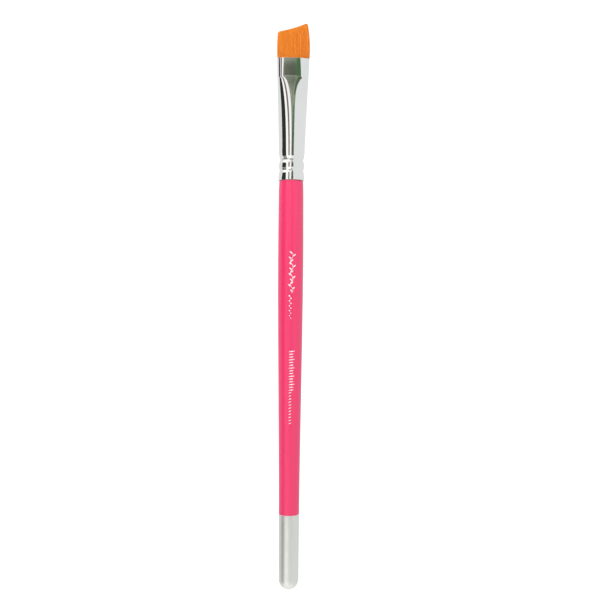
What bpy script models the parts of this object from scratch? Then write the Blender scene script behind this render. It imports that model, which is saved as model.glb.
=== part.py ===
"""Angled flat brush: a turned wooden handle, two lacquer skins, a crimped ferrule and a slanted tuft.

Metres, +Z up along the brush. The origin is the middle of the handle's rounded tail end. X is the
width of the tuft, with the long side of its slanted cut at +X, and Y is its thickness. The front is
at -Y. The exposed filaments bend about an X axis through the middle of the ferrule's mouth.
"""

import math

import bmesh
import bpy

# Handle: heights are measured from the tail end.
TAIL_RADIUS = 0.00317
HANDLE_TOP = 0.1345
HANDLE_STATIONS = (
    # (height, radius) of the lacquered outside
    (TAIL_RADIUS, TAIL_RADIUS),
    (0.0100, 0.00320),
    (0.0360, 0.00333),
    (0.0620, 0.00363),
    (0.0890, 0.00395),
    (0.1086, 0.00406),
    (0.1220, 0.00402),
    (0.1310, 0.00397),
    (HANDLE_TOP, 0.00386),
)
DIP_TOP = 0.0247
SKIN = 0.0002
TENON_TOP = 0.1480

# Ferrule: a tube that is crimped on the tenon and pressed flat at its mouth.
FERRULE_FOOT = 0.1346
ROUND_END = 0.1455
PANEL_FOOT = 0.1686
MOUTH = 0.1748
WALL = 0.0003
FOOT_RADIUS = 0.00409
TUBE_RADIUS = 0.00416
MOUTH_HALF_WIDTH = 0.00528
MOUTH_GIRTH_SHARE = 0.955
PANEL_HALF_WIDTH = 0.00264
FLATTENING_POWER = 4.0
CRIMPS = ((0.1379, 0.00042), (0.1413, 0.00055))  # (height, depth)
CRIMP_REACH = 0.0022
CRIMP_STEPS = 13
FUNNEL_STEPS = 6
FUNNEL_CROWDING = 1.6
ENTRY_BEVEL = 0.0004

# Bonding inside the ferrule.
GAP = 0.0001
GLUE_FILM = 0.00015
GLUE_FOOT = 0.1352
GLUE_TOP = 0.1468
RESIN_FOOT = 0.1530
RESIN_FLOOR = 0.1575
RESIN_TOP = 0.1640
RESIN_WALL = 0.0003
ROOT_SWELL = 0.0020

# Tuft: heights are measured from the mouth, where the bending axis is.
DOME_RADIUS = 0.00260
DOME_CLEARANCE = 0.00015
TUFT_LEFT = -0.00526
TUFT_RIGHT = 0.00534
TIP_RIGHT = 0.00475
TUFT_HALF_DEPTH = 0.00195
CHISEL_SHARE = 0.20
CHISEL_POWER = 1.7
SIDE_FLATNESS = 0.15
CUT_MIDDLE = 0.01014
CUT_SLOPE = 0.2995
CUT_CURVE = 10.95
LOCK_COLUMNS = 7
LOCK_SPLIT = 0.00010
LOCK_CUTS = (1, 2, 4)  # across its width, through its depth, up its length

TURNING_STEPS = 24
RING_POINTS = 32
HANDLE_STEPS = 10
TAIL_STEP_DEG = 15
DOME_STEP_DEG = 10
SHARP_EDGE_DEG = 35
COLLECTION_NAME = "angled_brush"

PINK = (1.0, 0.085, 0.19, 1.0)
SILVER = (0.62, 0.63, 0.59, 1.0)
CHROME = (0.86, 0.87, 0.87, 1.0)
BIRCH = (0.72, 0.52, 0.33, 1.0)
GLUE = (0.85, 0.78, 0.55, 1.0)
RESIN = (0.55, 0.38, 0.12, 1.0)
ORANGE = (0.83, 0.22, 0.035, 1.0)
ROOT_ORANGE = (0.62, 0.16, 0.03, 1.0)


def clear_scene():
    for obj in list(bpy.data.objects):
        bpy.data.objects.remove(obj, do_unlink=True)


def new_collection(name):
    collection = bpy.data.collections.new(name)
    bpy.context.scene.collection.children.link(collection)
    return collection


def new_material(name, colour, roughness, metallic=0.0):
    material = bpy.data.materials.new(name)
    material.use_nodes = True
    shader = material.node_tree.nodes["Principled BSDF"]
    shader.inputs["Base Color"].default_value = colour
    shader.inputs["Roughness"].default_value = roughness
    shader.inputs["Metallic"].default_value = metallic
    return material


def new_object(name, mesh, material, collection):
    mesh.materials.append(material)
    mesh.shade_smooth()
    mesh.set_sharp_from_angle(angle=math.radians(SHARP_EDGE_DEG))
    obj = bpy.data.objects.new(name, mesh)
    collection.objects.link(obj)
    return obj


def spread(low, high, count):
    """Count values from low to high, both included."""
    return [low + (high - low) * i / (count - 1) for i in range(count)]


def eased(share):
    """A share from 0 to 1 that starts and ends level."""
    share = min(max(share, 0.0), 1.0)
    return share * share * (3.0 - 2.0 * share)


# Shapes of the handle and the tube


def handle_radius(height):
    """Outside radius of the lacquered handle, smooth through its stations, with a round tail."""
    if height < TAIL_RADIUS:
        return math.sqrt(max(TAIL_RADIUS**2 - (TAIL_RADIUS - height) ** 2, 0.0))
    stations = HANDLE_STATIONS
    last = len(stations) - 2
    index = min(sum(height > z for z, _ in stations[1:]), last)
    (z0, r0), (z1, r1) = stations[index], stations[index + 1]

    def slope(i):
        low, high = stations[max(i - 1, 0)], stations[min(i + 1, last + 1)]
        return (high[1] - low[1]) / (high[0] - low[0])

    span = z1 - z0
    t = (height - z0) / span
    start = (1 + 2 * t) * (1 - t) ** 2 * r0 + t * (1 - t) ** 2 * span * slope(index)
    end = t * t * (3 - 2 * t) * r1 - t * t * (1 - t) * span * slope(index + 1)
    return start + end


def tail_arc(inset):
    """(radius, height) points of the rounded tail, from the full radius down to the axis."""
    radius = TAIL_RADIUS - inset
    angles = [math.radians(a) for a in range(90, -1, -TAIL_STEP_DEG)]
    return [(radius * math.sin(a), TAIL_RADIUS - radius * math.cos(a)) for a in angles]


def tube_half_width(height):
    """Half the ferrule's outside width along X, with its two crimps."""
    if height > ROUND_END:
        share = (height - ROUND_END) / (MOUTH - ROUND_END)
        return TUBE_RADIUS + (MOUTH_HALF_WIDTH - TUBE_RADIUS) * share
    share = (height - FERRULE_FOOT) / (ROUND_END - FERRULE_FOOT)
    radius = FOOT_RADIUS + (TUBE_RADIUS - FOOT_RADIUS) * share
    for middle, depth in CRIMPS:
        offset = min(abs(height - middle) / CRIMP_REACH, 1.0)
        radius -= depth * math.cos(offset * math.pi / 2) ** 2
    return radius


def panel_half_width(height):
    """Half the width of the flat across the ferrule's front: full on the panel, none on the tube."""
    share = (height - ROUND_END) / (PANEL_FOOT - ROUND_END)
    return PANEL_HALF_WIDTH * min(max(share, 0.0), 1.0) ** FLATTENING_POWER


def tube_half_depth(height):
    """Half the ferrule's depth along Y: pressed flat, the tube keeps the little girth it was drawn to."""
    if height <= ROUND_END:
        return tube_half_width(height)
    height = min(height, PANEL_FOOT)
    flat = panel_half_width(height)
    drawn = (1 - MOUTH_GIRTH_SHARE) * (height - ROUND_END) / (PANEL_FOOT - ROUND_END)
    girth = 2 * math.pi * TUBE_RADIUS * (1 - drawn)
    return (girth - 4 * flat) / math.pi - (tube_half_width(height) - flat)


def tube_ring(height, inset):
    """Points of the ferrule's section at a height, an inset inside its outer face."""
    flat = panel_half_width(height)
    end_width = tube_half_width(height) - inset - flat
    depth = (tube_half_depth(height) - inset) / math.cos(math.pi / RING_POINTS)
    ring = []
    for i in range(RING_POINTS):
        angle = 2 * math.pi * (i + 0.5) / RING_POINTS
        side = math.copysign(flat, math.cos(angle))
        ring.append((side + end_width * math.cos(angle), depth * math.sin(angle), height))
    return ring


def crimp_heights():
    """Heights that follow the curve of both crimps, from the ferrule's foot to the plain tube."""
    low = CRIMPS[0][0] - CRIMP_REACH
    high = CRIMPS[-1][0] + CRIMP_REACH
    return [FERRULE_FOOT] + spread(low, high, CRIMP_STEPS)


def funnel_heights(low, high):
    """Heights between low and high, which crowd towards the panel's foot, where the tube turns flat."""
    shares = spread(1.0, 0.0, FUNNEL_STEPS + 1)
    return [high - (high - low) * share**FUNNEL_CROWDING for share in shares]


# Mesh makers


def turned(name, profile, closed, material, collection):
    """A turned solid: a profile of (radius, height) that runs down its outside, swept round Z."""
    count = len(profile)
    edges = [(i, i + 1) for i in range(count - 1)]
    if closed:
        edges.append((count - 1, 0))
    mesh = bpy.data.meshes.new(name)
    mesh.from_pydata([(radius, 0.0, height) for radius, height in profile], edges, [])
    obj = new_object(name, mesh, material, collection)
    screw = obj.modifiers.new("Turn", "SCREW")
    screw.axis = "Z"
    screw.steps = TURNING_STEPS
    screw.render_steps = TURNING_STEPS
    screw.use_smooth_shade = True
    screw.use_merge_vertices = True
    screw.merge_threshold = 0.00001
    return obj


def lofted(name, rings, tube, material, collection):
    """A skin over rings of equal count. A tube's last ring joins its first; a plug's ends are capped."""
    bm = bmesh.new()
    loops = [[bm.verts.new(point) for point in ring] for ring in rings]
    pairs = list(zip(loops, loops[1:]))
    if tube:
        pairs.append((loops[-1], loops[0]))
    else:
        bm.faces.new(loops[0])
        bm.faces.new(loops[-1])
    for low, high in pairs:
        for i, point in enumerate(low):
            bm.faces.new((point, low[i - 1], high[i - 1], high[i]))
    bmesh.ops.recalc_face_normals(bm, faces=bm.faces)
    mesh = bpy.data.meshes.new(name)
    bm.to_mesh(mesh)
    bm.free()
    return new_object(name, mesh, material, collection)


# The handle and its skins


def make_handle_core(collection):
    """Turned wood: round tail, long swell, shoulder, and a tenon that follows the crimps."""
    under_skin = SKIN + GAP
    under_glue = WALL + 2 * GAP + GLUE_FILM
    tenon_heights = [z for z in crimp_heights()[1:] if z < TENON_TOP] + [TENON_TOP - ENTRY_BEVEL]
    tenon = [(tube_half_width(z) - under_glue, z) for z in reversed(tenon_heights)]
    profile = [(0.0, TENON_TOP), (tenon[0][0] - ENTRY_BEVEL, TENON_TOP)] + tenon
    profile.append((tube_half_width(HANDLE_TOP) - under_glue, HANDLE_TOP))
    profile += [(handle_radius(z) - under_skin, z) for z in spread(HANDLE_TOP, TAIL_RADIUS, HANDLE_STEPS)]
    profile += tail_arc(under_skin)[1:]
    return turned(
        "handle_core", profile, False, new_material("birch", BIRCH, 0.6), collection
    )


def make_pink_lacquer(collection):
    """The pink skin, from just above the silver dip to the ferrule."""
    heights = spread(HANDLE_TOP, DIP_TOP + GAP, HANDLE_STEPS)
    outside = [(handle_radius(z), z) for z in heights]
    inside = [(handle_radius(z) - SKIN, z) for z in reversed(heights)]
    return turned(
        "pink_lacquer", outside + inside, True, new_material("pink", PINK, 0.33), collection
    )


def make_silver_dip(collection):
    """The silver skin: a thin cup round the tail, flush with the pink one."""
    heights = spread(DIP_TOP, TAIL_RADIUS, 5)
    outside = [(handle_radius(z), z) for z in heights[:-1]] + tail_arc(0.0)
    inside = [(handle_radius(z) - SKIN, z) for z in heights[:-1]] + tail_arc(SKIN)
    profile = inside[::-1] + outside
    return turned(
        "silver_dip", profile, False, new_material("silver", SILVER, 0.35, 0.4), collection
    )


# The ferrule and what holds it


def make_ferrule(collection):
    """Thin tube with two crimps, a funnel from round to flat, and a planar panel front and back."""
    heights = crimp_heights() + funnel_heights(ROUND_END, PANEL_FOOT) + [MOUTH]
    outside = [tube_ring(z, 0.0) for z in heights]
    inside = [tube_ring(z, WALL) for z in reversed(heights)]
    chrome = new_material("chrome", CHROME, 0.06, 1.0)
    return lofted("ferrule", outside + inside, True, chrome, collection)


def make_tenon_glue(collection):
    """The adhesive sleeve that fills between the tenon and the ferrule."""
    heights = [GLUE_FOOT] + [z for z in crimp_heights() if GLUE_FOOT < z < GLUE_TOP] + [GLUE_TOP]
    outer_inset = WALL + GAP
    outside = [(tube_half_width(z) - outer_inset, z) for z in reversed(heights)]
    inside = [(tube_half_width(z) - outer_inset - GLUE_FILM, z) for z in heights]
    return turned(
        "tenon_glue", outside + inside, True, new_material("glue", GLUE, 0.4), collection
    )


def make_epoxy_plug(collection):
    """The set resin: a cup that fills the funnel, with the filament roots standing in it."""
    outer_inset = WALL + GAP
    inner_inset = outer_inset + RESIN_WALL
    outside = [tube_ring(z, outer_inset) for z in spread(RESIN_FOOT, RESIN_TOP, 5)]
    inside = [tube_ring(z, inner_inset) for z in spread(RESIN_TOP, RESIN_FLOOR, 4)]
    resin = new_material("resin", RESIN, 0.25)
    return lofted("epoxy_plug", outside + inside, False, resin, collection)


def root_inset(height):
    """How far the root block stays inside the ferrule: more where the resin cup is round it."""
    in_cup = WALL + 2 * GAP + RESIN_WALL
    free = WALL + GAP
    return in_cup + (free - in_cup) * eased((height - RESIN_TOP) / ROOT_SWELL)


def make_dome_cutter(collection):
    """A prism along X whose top is an arc about the bending axis: it gives the root block its dome."""
    reach = TUBE_RADIUS + WALL
    angles = [math.radians(a) for a in range(0, 181, DOME_STEP_DEG)]
    outline = [(DOME_RADIUS * math.cos(a), MOUTH + DOME_RADIUS * math.sin(a)) for a in angles]
    outline += [(-DOME_RADIUS, MOUTH - WALL), (-reach, MOUTH - 2 * WALL), (-reach, RESIN_FOOT)]
    outline += [(reach, RESIN_FOOT), (reach, MOUTH - 2 * WALL), (DOME_RADIUS, MOUTH - WALL)]
    half_length = 2 * MOUTH_HALF_WIDTH
    bm = bmesh.new()
    end = bm.faces.new([bm.verts.new((-half_length, y, z)) for y, z in outline])
    swept = bmesh.ops.extrude_face_region(bm, geom=[end])["geom"]
    far_verts = [item for item in swept if isinstance(item, bmesh.types.BMVert)]
    bmesh.ops.translate(bm, verts=far_verts, vec=(2 * half_length, 0.0, 0.0))
    bmesh.ops.recalc_face_normals(bm, faces=bm.faces)
    mesh = bpy.data.meshes.new("dome_cutter")
    bm.to_mesh(mesh)
    bm.free()
    cutter = bpy.data.objects.new("dome_cutter", mesh)
    cutter.hide_render = True
    cutter.display_type = "WIRE"
    collection.objects.link(cutter)
    return cutter


def make_filament_roots(collection, cutters):
    """The bound roots: they fill the flat of the ferrule and end in a low dome above its mouth."""
    foot = RESIN_FLOOR + GAP
    heights = spread(foot, RESIN_TOP, 4) + spread(RESIN_TOP + ROOT_SWELL / 2, PANEL_FOOT, 4)
    rings = [tube_ring(z, root_inset(z)) for z in heights]
    neck = tube_ring(MOUTH, root_inset(MOUTH))
    above_dome = MOUTH + 1.5 * DOME_RADIUS
    rings += [neck, [(x, y, above_dome) for x, y, _ in neck]]
    roots = lofted(
        "filament_roots", rings, False, new_material("roots", ROOT_ORANGE, 0.5), collection
    )
    dome = roots.modifiers.new("Dome", "BOOLEAN")
    dome.operation = "INTERSECT"
    dome.object = make_dome_cutter(cutters)
    return roots


# The exposed filaments


def cut_height(x):
    """Height of the slanted, slightly hollow cut above the mouth."""
    return CUT_MIDDLE + CUT_SLOPE * x + CUT_CURVE * x * x


def tuft_half_depth(x, share):
    """Half the tuft's depth: rounded at both sides, and tapered from the mouth to a chisel edge."""
    beyond = max(abs(x) - PANEL_HALF_WIDTH, 0.0) / (MOUTH_HALF_WIDTH - PANEL_HALF_WIDTH)
    roundness = math.sqrt(max(1.0 - min(beyond, 1.0) ** 2, SIDE_FLATNESS))
    return TUFT_HALF_DEPTH * roundness * (1 - (1 - CHISEL_SHARE) * share**CHISEL_POWER)


def lock_point(across, layer, share, x_low, x_high, side):
    """A point of a lock: across its width, from its inner face (layer 0) out, and up its length."""
    x = x_low + (x_high - x_low) * across
    lean = (TUFT_RIGHT - TIP_RIGHT) * share**2 * max(x / TUFT_RIGHT, 0.0) ** 2
    half_depth = tuft_half_depth(x, share)
    inner = LOCK_SPLIT / 2
    y = inner + (half_depth - inner) * layer
    start_y = inner + (tuft_half_depth(x, 0.0) - inner) * layer
    foot = math.sqrt((DOME_RADIUS + DOME_CLEARANCE) ** 2 - start_y**2)
    height = foot + (cut_height(x - lean) - foot) * share
    return (x - lean, side * y, height)


def make_lock(name, x_low, x_high, side, material, collection):
    """One lock: a box of one unit, divided along each of its directions, then bent to the tuft."""
    bm = bmesh.new()
    bmesh.ops.create_cube(bm, size=1.0)
    for direction, cuts in enumerate(LOCK_CUTS):
        along = [
            edge
            for edge in bm.edges
            if abs((edge.verts[0].co - edge.verts[1].co)[direction]) > 0.01
        ]
        bmesh.ops.subdivide_edges(bm, edges=along, cuts=cuts, use_grid_fill=True)
    for vert in bm.verts:
        across, layer, share = (value + 0.5 for value in vert.co)
        vert.co = lock_point(across, layer, share, x_low, x_high, side)
    bmesh.ops.triangulate(bm, faces=bm.faces)
    bmesh.ops.recalc_face_normals(bm, faces=bm.faces)
    mesh = bpy.data.meshes.new(name)
    bm.to_mesh(mesh)
    bm.free()
    return new_object(name, mesh, material, collection)


def make_tuft(collection):
    """Two layers of locks, all on the empty that marks the bending axis."""
    hinge = bpy.data.objects.new("tuft_hinge", None)
    hinge.location = (0.0, 0.0, MOUTH)
    collection.objects.link(hinge)
    orange = new_material("orange", ORANGE, 0.45)
    pitch = (TUFT_RIGHT - TUFT_LEFT + LOCK_SPLIT) / LOCK_COLUMNS
    for layer, side in (("front", -1), ("back", 1)):
        for column in range(LOCK_COLUMNS):
            x_low = TUFT_LEFT + pitch * column
            name = f"filament_lock_{layer}_{column + 1}"
            lock = make_lock(name, x_low, x_low + pitch - LOCK_SPLIT, side, orange, collection)
            lock.parent = hinge


def main():
    clear_scene()
    brush = new_collection(COLLECTION_NAME)
    cutters = new_collection("cutters")
    make_handle_core(brush)
    make_pink_lacquer(brush)
    make_silver_dip(brush)
    make_ferrule(brush)
    make_tenon_glue(brush)
    make_epoxy_plug(brush)
    make_filament_roots(brush, cutters)
    make_tuft(brush)


main()
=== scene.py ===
"""The looks of the angled flat brush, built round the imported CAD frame.

Metres, +Z up along the brush, front at -Y. The long side of the tuft's slanted cut is at +X.
"""

import math
import random

import bmesh
import bpy
import numpy as np
from mathutils import Matrix, Vector, noise


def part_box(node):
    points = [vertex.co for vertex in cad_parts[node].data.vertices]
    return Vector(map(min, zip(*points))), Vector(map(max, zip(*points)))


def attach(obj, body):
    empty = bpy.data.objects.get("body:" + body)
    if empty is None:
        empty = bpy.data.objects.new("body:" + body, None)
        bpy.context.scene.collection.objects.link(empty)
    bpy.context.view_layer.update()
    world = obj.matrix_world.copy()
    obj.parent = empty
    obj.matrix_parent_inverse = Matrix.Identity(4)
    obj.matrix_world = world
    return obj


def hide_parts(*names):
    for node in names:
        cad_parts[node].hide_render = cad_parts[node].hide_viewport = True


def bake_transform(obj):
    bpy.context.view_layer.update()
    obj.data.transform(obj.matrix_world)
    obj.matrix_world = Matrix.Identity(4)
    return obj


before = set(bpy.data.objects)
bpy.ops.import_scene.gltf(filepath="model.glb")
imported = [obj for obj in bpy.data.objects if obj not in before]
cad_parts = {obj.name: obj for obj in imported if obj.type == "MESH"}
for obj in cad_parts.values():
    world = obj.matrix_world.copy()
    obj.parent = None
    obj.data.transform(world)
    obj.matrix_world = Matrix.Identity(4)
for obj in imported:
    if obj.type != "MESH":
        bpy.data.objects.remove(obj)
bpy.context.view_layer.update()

# Places that the frame gives
PINK_LOW, PINK_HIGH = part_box("pink_lacquer")
DIP_LOW, DIP_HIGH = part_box("silver_dip")
FERRULE_LOW, FERRULE_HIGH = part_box("ferrule")
TAIL = DIP_LOW.z
DIP_TOP = (DIP_HIGH.z + PINK_LOW.z) / 2
HANDLE_TOP = PINK_HIGH.z
FERRULE_FOOT = FERRULE_LOW.z
MOUTH = FERRULE_HIGH.z
MOUTH_HALF_WIDTH = FERRULE_HIGH.x
TUBE_RADIUS = FERRULE_HIGH.y

# Handle: (height above the tail, radius) of the lacquered outside
TAIL_RADIUS = 0.00327
HANDLE_STATIONS = (
    (TAIL_RADIUS, TAIL_RADIUS),
    (0.0100, 0.00330),
    (0.0360, 0.00343),
    (0.0620, 0.00373),
    (0.0890, 0.00405),
    (0.1086, 0.00416),
    (0.1220, 0.00411),
    (0.1310, 0.00405),
    (HANDLE_TOP - TAIL, 0.00394),
)
HANDLE_SIDES = 96

# Lacquer skins: thickness, rounding of the rims, and half the gap between the two
SKIN = 0.00015
SKIN_EDGE = 0.00012
SKIN_GAP = 0.00001
DRAINED_EDGE_SHARE = 0.25
DIP_WAVE_REACH = 0.001
DIP_WAVES = (
    # size, waves round the handle, phase
    (0.00005, 1, 0.8),
    (0.00002, 3, 2.0),
)
TAIL_CAP_ANGLE = 0.02
INNER_CAP_ANGLE = 0.05

# Print: plain ornament, with sides measured round the handle from the middle of its front
INK_PROUD = 0.000025
INK_SUNK = -0.00002
PRINT_MIDDLE = 0.00042
SPRIG_TOP = 0.1108
SPRIG_FOOT = 0.0975
SPRIG_SWING = 0.00042
SPRIG_WAVES = 3.5
STEM_STEPS = 120
STEM_HALF_WIDTH = 0.00010
STEM_TIP_SHARE = 0.35
STEM_TIP_FROM = 0.04
LEAF_COUNT = 15
LEAF_START = 0.3
LEAF_HALF_WIDTH = 0.00022
LEAF_HALF_LENGTH = 0.00062
LEAF_SHRINK = 0.25
LEAF_REACH = 0.000465
LEAF_LIFT = 0.45
LEAF_TILT = 0.85
LEAF_POINTS = 16
LEAF_POINTED = 0.7
DOT_COUNT = 10
DOT_PITCH = 0.00080
DOT_START = 0.0009
DOT_RADIUS = 0.00027
DOT_SHRINK = 0.000012
DOT_LEFT = 0.00045
DOT_SWING = 0.00022
BAR_TOP = 0.0785
BAR_COUNT = 15
BAR_PITCH = 0.00090
BAR_HALF_LENGTHS = (0.00100, 0.00072, 0.00072)
BAR_ALIGN = 0.6
BAR_RIGHT = 0.0002
BAR_HALF_HEIGHT = 0.00018
BAR_TILT = 0.12
DASH_COUNT = 11
DASH_PITCH = 0.00100
DASH_LEFT = 0.0003
DASH_HALF_LENGTH = 0.00048
DASH_HALF_HEIGHT = 0.00012
DASH_TILT = 0.35

# Ferrule
ROUND_END = FERRULE_FOOT + 0.0109
PANEL_FOOT = MOUTH - 0.0062
WALL = 0.0003
FOOT_RADIUS = 0.00414
MOUTH_GIRTH_SHARE = 0.955
PANEL_HALF_WIDTH = 0.00264
FLATTENING_POWER = 4.0
FOOT_SOFTNESS = 0.0005
FOOT_SAMPLES = 9
CRIMPS = (
    # height of the groove, its depth, its reach below and above
    (FERRULE_FOOT + 0.0033, 0.00038, 0.0022, 0.0020),
    (FERRULE_FOOT + 0.0067, 0.00052, 0.0023, 0.0027),
)
CRIMP_NOTCH = 0.45
CRIMP_NOTCH_REACH = 0.38
CRIMP_SOFTNESS = 0.04
CRIMP_SEGMENTS = 8
CRIMP_SLANT = 0.5
CRIMP_ROW_TURN = 0.22
CRIMP_RIDGE = 0.16
CRIMP_RIDGE_POWER = 6
MOUTH_DRAW = 0.00005
MOUTH_DRAW_REACH = 0.0030
MOUTH_LIP = 0.0008
LIP_BEVEL = 0.00007
LIP_BEVEL_STEPS = 3
LIP_BEVEL_ANGLE = math.radians(50)
PLATING = 0.00008
FERRULE_LEAN = 0.0105

# The middle of the ferrule's front is shaped by the way it faces. Each row is one facing, in degrees
# to the right, and says how far across (-1 left edge, 1 right edge) the front faces that way: at the
# mouth, at the panel's foot and at the funnel's top. Down the funnel that place moves to where a round
# tube faces so: the last two values are how far down most of that happens, and how suddenly.
FACETS = (
    (-45.0, -0.89, -0.89, -0.85, 0.0085, 1.6),
    (-24.3, -0.81, -0.80, -0.78, 0.0075, 1.0),
    (-12.1, -0.80, -0.79, -0.73, 0.0080, 0.9),
    (-7.5, -0.70, -0.72, -0.66, 0.0070, 0.9),
    (0.6, -0.59, -0.65, -0.61, 0.0045, 0.8),
    (5.0, 0.42, 0.50, 0.64, 0.0020, 0.9),
    (9.3, 0.43, 0.52, 0.71, 0.0025, 1.0),
    (24.3, 0.78, 0.79, 0.85, 0.0045, 0.9),
    (45.0, 0.90, 0.90, 0.91, 0.0060, 1.0),
)
FACINGS = [row[0] for row in FACETS]
# Just below the panel's foot, the funnel's places take over within this distance
CREASE = 0.0005
FACE_STEPS = 160
FACE_EDGES = [math.sin(math.pi * (i / FACE_STEPS - 0.5)) for i in range(FACE_STEPS + 1)]
# The front is cut into cells across, narrower towards its edges: (middle, width) of each
CELLS = [((low + high) / 2, high - low) for low, high in zip(FACE_EDGES, FACE_EDGES[1:])]
# Past the outermost facings the front bends by what meets its edge, found by halving this range
ROUNDEST_BEND = 1.0
FLATTEST_BEND = 0.02
BEND_HALVINGS = 16

# Tuft: heights are measured from the mouth, and shares of its height from mouth to tip
FILAMENT_SPACING = 0.000125
SEAT_SHAKE = 0.28
MOUTH_CLEARANCE = 1.6
FILAMENT_RADIUS = 0.000058
FILAMENT_TIP_SHARE = 0.42
FILAMENT_TAPER_POWER = 2.6
FILAMENT_SIDES = 5
FILAMENT_RINGS = 9
RING_CROWDING = 0.9
FILAMENT_ROOT = -0.0012
TUFT_HALF_DEPTH = 0.00186
TUFT_BELLY = 0.00017
TUFT_EDGES = {
    # how far the edge stands inside the mouth's, where its belly ends, how fast it leans in above
    "left": (0.00010, 0.0035, 7.0),
    "right": (0.0, 0.0030, 10.3),
}
DEPTH_BELLY = 0.05
DEPTH_BELLY_END = 0.35
CHISEL_SHARE = 0.19
CHISEL_POWER = 1.75
CUT_MIDDLE = 0.01014
CUT_SLOPE = 0.2995
CUT_CURVE = 10.95
CUT_WIDTH_SHARE = 0.93
CUT_LAYER_DROP = 0.00022
CORNER_FROM = 0.88
RIGHT_CORNER_DROP = 0.00045
LEFT_CORNER_DROP = 0.00030
TIP_SCATTER = 0.00007
TUCK_HEIGHT = 0.0003
WANDER = 0.000025
WANDER_FULL_FROM = 1 / 3
WANDER_TURN_ACROSS = 2.5
WANDER_TURN_DEEP = 2.0
WANDER_DEEP_SHARE = 0.6
CLUMP = 0.00003
CLUMPS_ACROSS = 9.0
CLUMPS_DEEP = 2.0
CLUMP_SLICE = 0.3
TINT_MEAN = 0.65
TINT_SPREAD = 0.22
LOCK_COLUMNS = 7
SEED = 7

# The bound roots under the fibres, and the resin cup that they stand in
BED_INSET = 0.0008
BED_RISE = 0.0010
BED_TAPER = 0.0006
BED_TAPER_BELOW = 0.002
CUP_GAP = 0.00005

# Stage: azimuths in degrees, 0 at the camera and positive to its right
BRUSH_MIDDLE = 0.0953
WORLD_DIFFUSE = 0.77
WORLD_GLOSSY = 1.1
FLOOR_RADIUS = 40.0
FLOOR_DROP = 0.0004
FLOOR_GREY = 0.55
FLOOR_GLOW = 0.75
CARD_DISTANCE = 0.62
CARD_STEP = 1.5
CARD_CORNER_POWER = 4
CARDS = (
    # name, from, to, low, high, colour
    ("left_screen", -180, -95, -0.8, 1.3, (0.80, 0.80, 0.81)),
    ("black_flag", -95, -48, -0.06, 0.39, (0.030, 0.034, 0.026)),
    ("low_flag", -95, -50, -0.45, -0.06, (0.32, 0.32, 0.30)),
    ("window", -48, -26, -0.05, 1.0, (1.06, 1.06, 1.04)),
    ("low_window", -50, -4, -0.8, -0.05, (1.24, 1.24, 1.22)),
    ("brown_strip", -26, -15, -0.05, 0.60, (0.22, 0.165, 0.155)),
    ("window_gap", -15, -0.2, -0.05, 1.0, (1.0, 1.0, 0.98)),
    ("green_edge", 8.0, 13.0, 0.26, 0.385, (0.07, 0.165, 0.07)),
    ("dark_edge", 9.0, 15.0, 0.43, 0.72, (0.10, 0.135, 0.095)),
    ("right_screen", 18.5, 165, -0.8, 1.3, (0.79, 0.81, 0.80)),
    ("back_flag", 165, 180, -0.8, 1.3, (0.10, 0.11, 0.09)),
)
ROUNDED_CARD = "black_flag"
ROOM_FROM = -0.2
ROOM_TO = 18.5
ROOM_DISTANCE = 0.63
ROOM_LOW = -0.05
ROOM_HIGH = 1.0
LOW_GAP_FOOT = -0.8
LOW_GAP_COLOUR = (0.86, 0.86, 0.86)
ROOM_BY_HEIGHT = (
    # height, light
    (0.31, (0.125, 0.140, 0.110)),
    (0.335, (0.18, 0.20, 0.165)),
    (0.36, (0.30, 0.335, 0.28)),
    (0.44, (0.33, 0.365, 0.30)),
    (0.50, (0.27, 0.30, 0.245)),
    (0.54, (0.205, 0.23, 0.185)),
    (0.76, (0.30, 0.33, 0.26)),
    (0.95, (0.9, 0.9, 0.9)),
)
ROOM_FROM_LEFT = (
    # share of the way across from the left, factor on that light
    (0.0, (1.02, 1.0, 0.96)),
    (0.18, (0.94, 0.93, 0.90)),
    (0.36, (0.72, 0.75, 0.68)),
    (0.50, (1.06, 1.09, 0.98)),
    (0.75, (0.62, 0.76, 0.60)),
)
CLUTTER_SCALE = 45.0
CLUTTER_DETAIL = 3.0
CLUTTER_STRETCH = (1.0, 1.0, 4.0)
CLUTTER_SHADES = (
    # level of the noise, factor on that light
    (0.35, (0.84, 0.84, 0.84)),
    (0.65, (1.16, 1.16, 1.16)),
)
KEY_SIZE = 0.22
KEY_POWER = 0.85
KEY_PLACE = Vector((-0.10, -0.36, 0.37))
KEY_TARGET = Vector((0.0, 0.0, 0.14))
CAMERA_DISTANCE = 0.330
CAMERA_LENS = 60.0
CAMERA_SENSOR = 36.0
CAMERA_CLIP = (0.01, 100.0)
CAMERA_RIGHT = 0.00317
CAMERA_ROLL = math.radians(0.39)


# ---------------------------------------------------------------- small helpers


def eased(share):
    """A share from 0 to 1 that starts and ends level."""
    share = min(max(share, 0.0), 1.0)
    return share * share * (3.0 - 2.0 * share)


def spread(low, high, count):
    """Count values from low to high, both included."""
    return [low + (high - low) * i / (count - 1) for i in range(count)]


def mesh_object(name, verts, faces, material, smooth=True):
    mesh = bpy.data.meshes.new(name)
    mesh.from_pydata(verts, [], faces)
    mesh.materials.append(material)
    if smooth:
        mesh.shade_smooth()
    obj = bpy.data.objects.new(name, mesh)
    bpy.context.scene.collection.objects.link(obj)
    return obj


def ring_skin(rings, closed):
    """Vertices and quads over rings of equal count. closed joins the last ring to the first."""
    count = len(rings[0])
    verts = [point for ring in rings for point in ring]
    faces = []
    last = len(rings) if closed else len(rings) - 1
    for r in range(last):
        low, high = r * count, ((r + 1) % len(rings)) * count
        for i in range(count):
            j = (i + 1) % count
            faces.append((low + i, low + j, high + j, high + i))
    return verts, faces


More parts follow.
